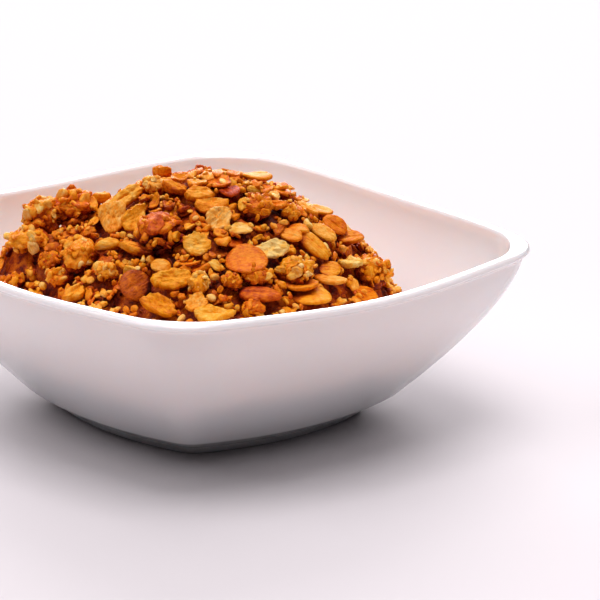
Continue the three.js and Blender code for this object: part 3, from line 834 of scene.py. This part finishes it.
# how much of each unevenness a kind of flake has
lookParts = ("uneven", "ragged", "breaks", "plump", "cup", "bend", "groove", "rough", "crinkle")
looks = {
    "oval": (0.5, 0.25, 0.1, 3.4, 0.6, 0.8, 0.3, 0.1, 0.05),
    "papery": (1.2, 1.2, 1.0, 8.0, 0.8, 1.6, 0.5, 0.26, 0.34),
    "broken": (1.1, 0.9, 2.0, 8.0, 0.5, 0.8, 0.2, 0.22, 0.22),
    "bit": (1.5, 1.3, 2.6, 7.0, 0.6, 1.2, 0.2, 0.22, 0.2),
    "seed": (0.2, 0, 0, 2.4, 0.2, 0.2, 0, 0.02, 0),
}
looks = {name: dict(zip(lookParts, values)) for name, values in looks.items()}
clustering = {
    "coreShare": 0.74,
    "coreDarker": 0.08,
    "relief": 0.32,
    "cover": 1.25,
    "strewnCover": 0.8,
    "tilt": 46,
    "jitter": 0.2,
    "crumbs": 0.18,  # for each square millimetre
    # half length, width and thickness as shares of it, how far out on the core, and spread of tone
    "bit": {  # its half length is a share of the cluster's
        "half": (0.18, 0.44),
        "wide": (0.5, 0.9),
        "thick": (0.2, 0.42),
        "out": (0.95, 1.18),
        "tones": 0.11,
    },
    "crumb": {
        "half": (0.5, 1.4),
        "wide": (0.5, 1),
        "thick": (0.35, 0.8),
        "out": (1.05, 1.32),
        "tones": 0.09,
        "relief": 0.42,
    },
}


def sizeFrom(half, span, rng):
    return half, half * rng.uniform(*span["wide"]), half * rng.uniform(*span["thick"])


def addCluster(piles, piece, tone, rng):
    # a crumbly lump stuck all over with broken flakes and crumbs
    length = piece["size"][0]
    turn, spot = np.array(piece["turn"]), np.array(piece["spot"])
    core = np.array(piece["size"]) * clustering["coreShare"]
    ball = bigLumpBall if piece["named"] and length > 5 else lumpBall
    lump = lumpPoints(ball, core, rng, clustering["relief"])
    put(piles["clusterCores"], lump, turn, spot, tone + clustering["coreDarker"], rng)
    bit, crumb = clustering["bit"], clustering["crumb"]
    area = 4 * math.pi * (core[0] * core[1] * core[2]) ** (2 / 3)
    half = length * np.mean(bit["half"])
    cover = clustering["cover"] if piece["named"] else clustering["strewnCover"]
    count = int(cover * area / (half * half * 2))
    disc = coarseDisc if piece["named"] else tinyDisc
    for i in range(count):
        share = (i + 0.5) / count
        slant, around = math.acos(1 - 2 * share), math.pi * (1 + 5**0.5) * i
        level = math.sin(slant)
        unit = np.array([math.cos(around) * level, math.sin(around) * level, math.cos(slant)])
        unit = unit + rng.normal(size=3) * clustering["jitter"]
        unit /= np.linalg.norm(unit)
        size = sizeFrom(length * rng.uniform(*bit["half"]), bit, rng)
        at = unit * core * rng.uniform(*bit["out"])
        normal = turn @ (unit / core)
        bitTone = np.clip(tone + rng.normal() * bit["tones"], 0, 1)
        form = flakePoints(disc, size, rng, looks["bit"])
        bitTurn = randomTurn(rng, normal, clustering["tilt"])
        put(piles["clusterBits"], form, bitTurn, spot + turn @ at, bitTone, rng)
    for _ in range(int(area * clustering["crumbs"])):
        unit = rng.normal(size=3)
        unit /= np.linalg.norm(unit)
        at = unit * core * rng.uniform(*crumb["out"])
        size = sizeFrom(rng.uniform(*crumb["half"]), crumb, rng)
        form = lumpPoints(crumbBall, size, rng, crumb["relief"])
        bitTone = np.clip(tone + rng.normal() * crumb["tones"], 0, 1)
        put(piles["clusterCrumbs"], form, randomTurn(rng, unit, 90), spot + turn @ at, bitTone, rng)


# ---- the fine pieces that fill the heap
fill = {
    "cell": 0.5,
    "radius": 69,
    "rightEnd": 51,  # how far right the large pieces lie
    "endOver": 7,  # the heap falls over this far before its right end
    "endDrop": 4,
    "sink": 0.5,
    "smaller": 1.4,  # over 1, small ones are more common
    "leanSpread": 0.7,
    "crumbRelief": 0.32,
    "onLarge": 0.35,  # share of a fine piece that may lie on a large one
    "largeProud": 3.4,  # a large piece this high over the core shows
    "bare": 0.6,  # the core shows where less than this covers it
    "bareHalf": (0.8, 1.7),
    "bareLean": 0.5,
    "bareRise": 2.6,  # how high over the core a covering bit may come to rest
    "most": 850,  # covering bits at the most
}
# kind: count, half length, width and thickness as shares of it, tilt, tries, how proud of the heap's form
# it may be, and the share of it that may lie over a named piece
fineParts = ("count", "half", "wide", "thick", "tilt", "tries", "limit", "hiding")
finePieces = {
    "smallFlakes": (1400, (2.0, 4.4), (0.5, 0.86), (0.12, 0.2), 50, 14, 1.3, 0.2),
    "brokenBits": (1900, (0.9, 2.2), (0.45, 0.9), (0.3, 0.55), 60, 8, 1.3, 0.35),
    "crumbs": (1300, (0.5, 1.1), (0.5, 1.0), (0.4, 0.8), 60, 4, 1.0, 0.45),
    "paleSeeds": (40, (1.3, 1.7), (0.55, 0.65), (0.28, 0.34), 30, 6, 1.6, 0.5),
}
finePieces = {name: dict(zip(fineParts, values)) for name, values in finePieces.items()}
# most pieces are gold to orange, some are pale and some are dark: up to this share of them, the tones
toneBands = ((0.14, (0.08, 0.2)), (0.84, (0.2, 0.46)), (1, (0.46, 0.66)))
seedTones = (0, 0.06)
smooth = {"least": 0.1, "over": 45, "most": 0.75}  # smooth discs lie mostly in the heap's right half
seen = {"cell": 0.5, "across": 80, "up": 60, "behind": 0.3}  # behind: how far, to count as hidden


def toneFor(rng):
    kind = rng.uniform()
    for upTo, span in toneBands:
        if kind < upTo:
            return rng.uniform(*span)


def lookAt(x, y, rng):
    share = np.clip(smooth["least"] + rightOf(x, y) / smooth["over"], smooth["least"], smooth["most"])
    return looks["oval" if rng.uniform() < share else "papery"]


def fineForm(kind, size, x, y, rng):
    if kind == "crumbs":
        return lumpPoints(crumbBall, size, rng, fill["crumbRelief"])
    if kind == "paleSeeds":
        return flakePoints(coarseDisc, size, rng, looks["seed"])
    if kind == "brokenBits":
        return flakePoints(tinyDisc, size, rng, looks["bit"])
    return flakePoints(smallDisc, size, rng, lookAt(x, y, rng))


class SeenMask:
    # how far the named pieces are on the picture plane, so that fine pieces don't hide them
    def __init__(self):
        shape = [int(2 * seen[side] / seen["cell"]) for side in ("across", "up")]
        self.depth = np.full(shape, -1e9)

    def at(self, across, up):
        i = np.clip(((across + seen["across"]) / seen["cell"]).astype(int), 0, self.depth.shape[0] - 1)
        j = np.clip(((up + seen["up"]) / seen["cell"]).astype(int), 0, self.depth.shape[1] - 1)
        return i, j

    def add(self, points):
        across, up, behind = seenFrom(points)
        np.maximum.at(self.depth, self.at(across, up), behind)

    def hiddenShare(self, points):
        across, up, behind = seenFrom(points)
        return float((self.depth[self.at(across, up)] > behind + seen["behind"]).mean())


def endFall(x, y):
    # how far the heap is lower at its right end and past it
    ease = np.clip((rightOf(x, y) - fill["rightEnd"]) / fill["endOver"] + 1, 0, 1)
    return fill["endDrop"] * ease * ease


def coreHeight(x, y):
    return heapHeight(x, y) - heap["cover"] - endFall(x, y)


def shownLargePieces():
    # past the right end only the named large pieces are shown
    end = fill["rightEnd"]
    return [piece for piece in largePieces if piece["named"] or rightOf(*piece["spot"][:2]) < end]


def coverBare(piles, grid, rng):
    # a bit on each place where the core still shows
    span = finePieces["brokenBits"]
    bare = np.argwhere(grid.top - grid.bottom < fill["bare"])
    rng.shuffle(bare)
    placed = 0
    for i, j in bare:
        x, y, low = grid.middles[i], grid.middles[j], grid.bottom[i, j]
        if placed == fill["most"] or grid.top[i, j] - low >= fill["bare"]:
            continue
        if math.hypot(x, y) > cavityRadius(math.atan2(y, x), min(low, innerTopHeight)) - 1:
            continue
        size = sizeFrom(rng.uniform(*fill["bareHalf"]), span, rng)
        lean = math.radians(span["tilt"]) * rng.normal() * fill["bareLean"]
        turn = slopeTurn(x, y, rng.uniform(0, 2 * math.pi), lean, rng.uniform(0, 2 * math.pi))
        points = surfacePoints(size, False, turn, 0.45)
        z = grid.rest(points, x, y) - fill["sink"]
        if z - low > fill["bareRise"] or not insideBowl(points, x, y, z):
            continue
        grid.cover(points, x, y, z)
        form = flakePoints(tinyDisc, size, rng, looks["bit"])
        put(piles["brokenBits"], form, turn, (x, y, z), toneFor(rng), rng)
        placed += 1
    print("bits over the bare core", placed)


def fillHeap(piles, rng):
    grid = HeightGrid(fill["cell"], coreHeight)
    mask = SeenMask()
    for piece in shownLargePieces():
        points = surfacePoints(piece["size"], piece["kind"] == "cluster", piece["turn"], 0.4)
        grid.cover(points, *piece["spot"])
        if piece["named"]:
            mask.add(points + np.array(piece["spot"]))
    large = grid.top > grid.bottom + fill["largeProud"]
    for kind, span in finePieces.items():
        placed = 0
        for _ in range(span["count"]):
            size = sizeFrom(mix(*span["half"], rng.uniform() ** fill["smaller"]), span, rng)
            yaw = rng.uniform(0, 2 * math.pi)
            lean = math.radians(span["tilt"]) * rng.normal() * fill["leanSpread"]
            leanTowards = rng.uniform(0, 2 * math.pi)
            best = None
            for _ in range(span["tries"]):
                radius = fill["radius"] * math.sqrt(rng.uniform())
                angle = rng.uniform(0, 2 * math.pi)
                x, y = radius * math.cos(angle), radius * math.sin(angle)
                if radius > cavityRadius(angle, min(heapHeight(x, y), innerTopHeight)):
                    continue
                turn = slopeTurn(x, y, yaw, lean, leanTowards)
                points = surfacePoints(size, kind == "crumbs", turn, min(0.45, size[1] * 0.6))
                z = grid.rest(points, x, y) - fill["sink"]
                proud = z - heapHeight(x, y)
                if best is not None and proud >= best[0]:
                    continue
                if proud + points[:, 2].max() > span["limit"] - endFall(x, y):
                    continue
                if large[grid.at(x + points[:, 0], y + points[:, 1])].mean() > fill["onLarge"]:
                    continue
                if not insideBowl(points, x, y, z):
                    continue
                if mask.hiddenShare(points + np.array([x, y, z])) > span["hiding"]:
                    continue
                best = (proud, x, y, z, turn, points)
            if best is None:
                continue
            _, x, y, z, turn, points = best
            grid.cover(points, x, y, z)
            placed += 1
            form = fineForm(kind, size, x, y, rng)
            tone = toneFor(rng) if kind != "paleSeeds" else rng.uniform(*seedTones)
            put(piles[kind], form, turn, (x, y, z), tone, rng)
        print(kind, "placed", placed)
    coverBare(piles, grid, rng)
    return grid


# painted shade: what lies down between other pieces is painted darker, standing for the shade that falls
# there
paintedHollowShade = {"narrow": 1.5, "narrowRate": 0.16, "wide": 4.5, "wideRate": 0.05, "most": 0.4}


def blurred(top, cell, spread):
    steps = np.arange(-int(3 * spread / cell), int(3 * spread / cell) + 1)
    weights = np.exp(-((steps * cell / spread) ** 2) / 2)
    weights /= weights.sum()
    for axis in (0, 1):
        top = sum(weight * np.roll(top, step, axis) for step, weight in zip(steps, weights))
    return top


def paintShadeInHollows(pile, grid):
    near = blurred(grid.top, grid.cell, paintedHollowShade["narrow"])
    around = blurred(grid.top, grid.cell, paintedHollowShade["wide"])
    for points, toast in zip(pile["points"], pile["toast"]):
        i, j = grid.at(points[:, 0], points[:, 1])
        # painted shade: the deeper a point lies under the heap's blurred top, the darker its tone
        shade = paintedHollowShade["narrowRate"] * np.maximum(near[i, j] - points[:, 2], 0)
        shade += paintedHollowShade["wideRate"] * np.maximum(around[i, j] - points[:, 2], 0)
        toast[:, 0] += np.minimum(shade, paintedHollowShade["most"])


# ---- toasted finishes
toasting = {
    "ramp": (  # place on the scale from pale to dark, and colour
        (0.0, (0.98, 0.70, 0.25)),
        (0.15, (0.97, 0.52, 0.09)),
        (0.3, (0.94, 0.37, 0.03)),
        (0.45, (0.83, 0.23, 0.010)),
        (0.6, (0.60, 0.11, 0.003)),
        (0.75, (0.35, 0.04, 0.001)),
        (0.88, (0.14, 0.009, 0.0004)),
        (1.0, (0.05, 0.002, 0.0002)),
    ),
    "mottle": 0.33,  # how strong, and its noise: scale, detail and stretch
    "mottleNoise": (0.45, 4),
    "speck": 0.26,
    "speckNoise": (1.6, 4, (0.4, 1.4, 1)),
    "edge": 0.06,
    "hue": (0.014, 0.491),  # some pieces are yellower and some redder
    "saturation": 1.02,
    "shader": {"Coat Weight": 0.05, "Coat Roughness": 0.25, "Specular IOR Level": 0.14},
    "gloss": {"To Min": 0.3, "To Max": 0.6},
    "glossNoise": (0.8, 2),
    "bump": {"Strength": 0.8, "Distance": 0.0006},
    "bumpNoise": (1.3, 5, (0.6, 1.3, 1)),
    "noiseRoughness": 0.62,
}


def toastedFinish():
    finish = newFinish("toastedMuesli", toasting["shader"])
    tree = finish.node_tree
    shader = tree.nodes["Principled BSDF"]
    link = tree.links.new
    grain = readAttribute(tree, "grain")
    parts = addNode(tree, "SeparateColor")
    link(readAttribute(tree, "toast").outputs["Color"], parts.inputs["Color"])

    def noise(scale, detail, stretch=(1, 1, 1)):
        stretched = addNode(tree, "Mapping", {"Scale": stretch})
        settings = {"Scale": scale, "Detail": detail, "Roughness": toasting["noiseRoughness"]}
        texture = addNode(tree, "TexNoise", settings)
        link(grain.outputs["Vector"], stretched.inputs["Vector"])
        link(stretched.outputs["Vector"], texture.inputs["Vector"])
        return texture.outputs["Fac"]

    def calculate(operation, *values):
        node = addNode(tree, "Math")
        node.operation = operation
        for socket, value in zip(node.inputs, values):
            if isinstance(value, (int, float)):
                socket.default_value = value
            else:
                link(value, socket)
        return node.outputs["Value"]

    # the toast's first part is the piece's tone, with painted shade in hollows and at crumb feet
    tone = parts.outputs["Red"]
    changes = {
        "mottle": noise(*toasting["mottleNoise"]),
        "speck": noise(*toasting["speckNoise"]),
        "edge": parts.outputs["Green"],
    }
    for name, value in changes.items():
        around = calculate("SUBTRACT", value, 0.5)
        tone = calculate("MULTIPLY_ADD", around, toasting[name] * 2, tone)
    ramp = addNode(tree, "ValToRGB")
    stops = ramp.color_ramp.elements
    while len(stops) < len(toasting["ramp"]):
        stops.new(0.5)
    for stop, (position, colour) in zip(stops, toasting["ramp"]):
        stop.position = position
        stop.color = (*colour, 1)
    link(tone, ramp.inputs["Fac"])
    hue = addNode(tree, "HueSaturation", {"Saturation": toasting["saturation"]})
    link(calculate("MULTIPLY_ADD", parts.outputs["Blue"], *toasting["hue"]), hue.inputs["Hue"])
    gloss = addNode(tree, "MapRange", toasting["gloss"])
    bump = addNode(tree, "Bump", toasting["bump"])
    link(noise(*toasting["glossNoise"]), gloss.inputs["Value"])
    link(noise(*toasting["bumpNoise"]), bump.inputs["Height"])
    link(ramp.outputs["Color"], hue.inputs["Color"])
    link(hue.outputs["Color"], shader.inputs["Base Color"])
    link(gloss.outputs["Result"], shader.inputs["Roughness"])
    link(bump.outputs["Normal"], shader.inputs["Normal"])
    return finish


# ---- the core under the loose pieces
core = {
    "around": 440,
    "wallRings": (0, 0.05, 0.12, 0.25, 0.45, 0.7),
    "topRings": 120,
    "crumb": 1.9,
    "crumbTall": (0.4, 1),
    "relief": 1.3,
    "tone": 0.5,
    "toneSpread": 0.09,
    "crumbFootPaintedShade": 0.25,  # painted shade: how much paler a crumb's top is than its foot, as shade falls between the crumbs
}


def crumbRelief(points, rng):
    # packed crumbs: for each point, how high it is on the nearest crumb and that crumb's tone
    size = core["crumb"]
    count = int(2 * heap["gridHalf"] / size) + 2
    middles = rng.uniform(0, 1, (count, count, 2))
    tall = rng.uniform(*core["crumbTall"], (count, count))
    tone = rng.normal(size=(count, count)) * core["toneSpread"]
    across, along = (points[:, 0] + heap["gridHalf"]) / size, (points[:, 1] + heap["gridHalf"]) / size
    nearest = np.full(len(points), 9.0)
    height, shade = np.zeros(len(points)), np.zeros(len(points))
    for stepX in (-1, 0, 1):
        for stepY in (-1, 0, 1):
            i = np.clip(np.floor(across).astype(int) + stepX, 0, count - 1)
            j = np.clip(np.floor(along).astype(int) + stepY, 0, count - 1)
            away = np.hypot(across - i - middles[i, j, 0], along - j - middles[i, j, 1])
            closer = away < nearest
            nearest = np.where(closer, away, nearest)
            dome = tall[i, j] * np.sqrt(np.clip(1 - away**2, 0, 1))
            height = np.where(closer, dome, height)
            shade = np.where(closer, tone[i, j], shade)
    return height, shade


def addCore(rng, grid, finish):
    angles = np.arange(core["around"]) * 2 * math.pi / core["around"]
    low, high = np.zeros_like(angles), np.full_like(angles, 90.0)
    for _ in range(40):  # where the core's top meets the wall
        radius = (low + high) / 2
        height = coreHeight(*polar(radius, angles))
        within = (height > bowl["floorHeight"] + 1) & (radius < cavityRadius(angles, height))
        low, high = np.where(within, radius, low), np.where(within, high, radius)
    contact = low - heap["coreInset"] + 0.3
    edge = coreHeight(*polar(contact, angles))
    bottom = bowl["floorHeight"] + heap["gap"]
    rings = []
    for share in core["wallRings"]:
        height = mix(bottom, edge, share)
        radius = cavityRadius(angles, height if share else np.full_like(edge, bowl["floorHeight"]))
        radius = radius - heap["coreInset"]
        rings.append(np.stack([*polar(radius, angles), height], 1))
    for share in np.linspace(1, 0.02, core["topRings"]):
        x, y = polar(contact * share, angles)
        rings.append(np.stack([x, y, coreHeight(x, y)], 1))
    points = np.concatenate([[[0, 0, bottom]], *rings, [[0, 0, coreHeight(0, 0)]]])
    onTop = np.arange(len(points)) > len(core["wallRings"]) * core["around"]
    height, shade = crumbRelief(points, rng)
    lift = (height - 0.4 + 0.4 * ripple(points, 5, rng)) * core["relief"]
    points[:, 2] += np.where(onTop, lift, 0)
    pile = newPile()
    values = np.zeros((len(points), 3))
    # painted shade: each crumb's foot is darker than its top
    values[:, 0] = core["tone"] + shade - core["crumbFootPaintedShade"] * height
    values[:, 1:] = 0.5
    addToPile(pile, points, loftFaces(len(rings), core["around"]), values, points.copy())
    paintShadeInHollows(pile, grid)
    makePile("muesliCore", pile, finish)


def addMuesli():
    rng = np.random.default_rng(heap["seed"])
    names = ("largeFlakes", "wholeFlakes", "brokenPieces", "clusterCores", "clusterBits", "clusterCrumbs")
    piles = {name: newPile() for name in (*names, *finePieces)}
    for piece in shownLargePieces():
        named, kind, spot = piece["named"], piece["kind"], piece["spot"]
        tone = piece["toast"] if named else toneFor(rng)
        if kind == "cluster":
            addCluster(piles, piece, tone, rng)
            continue
        if kind == "shard":
            name, look = "brokenPieces", looks["broken"]
        elif named:
            name, look = "largeFlakes", looks["oval" if kind == "disc" else "papery"]
        else:
            name, look = "wholeFlakes", lookAt(*spot[:2], rng)
        form = flakePoints(fineDisc if named else middleDisc, piece["size"], rng, look)
        put(piles[name], form, piece["turn"], spot, tone, rng)
    grid = fillHeap(piles, rng)
    finish = toastedFinish()
    addCore(rng, grid, finish)
    for name, pile in piles.items():
        paintShadeInHollows(pile, grid)
        makePile(name, pile, finish)


addMuesli()
print("muesli made")
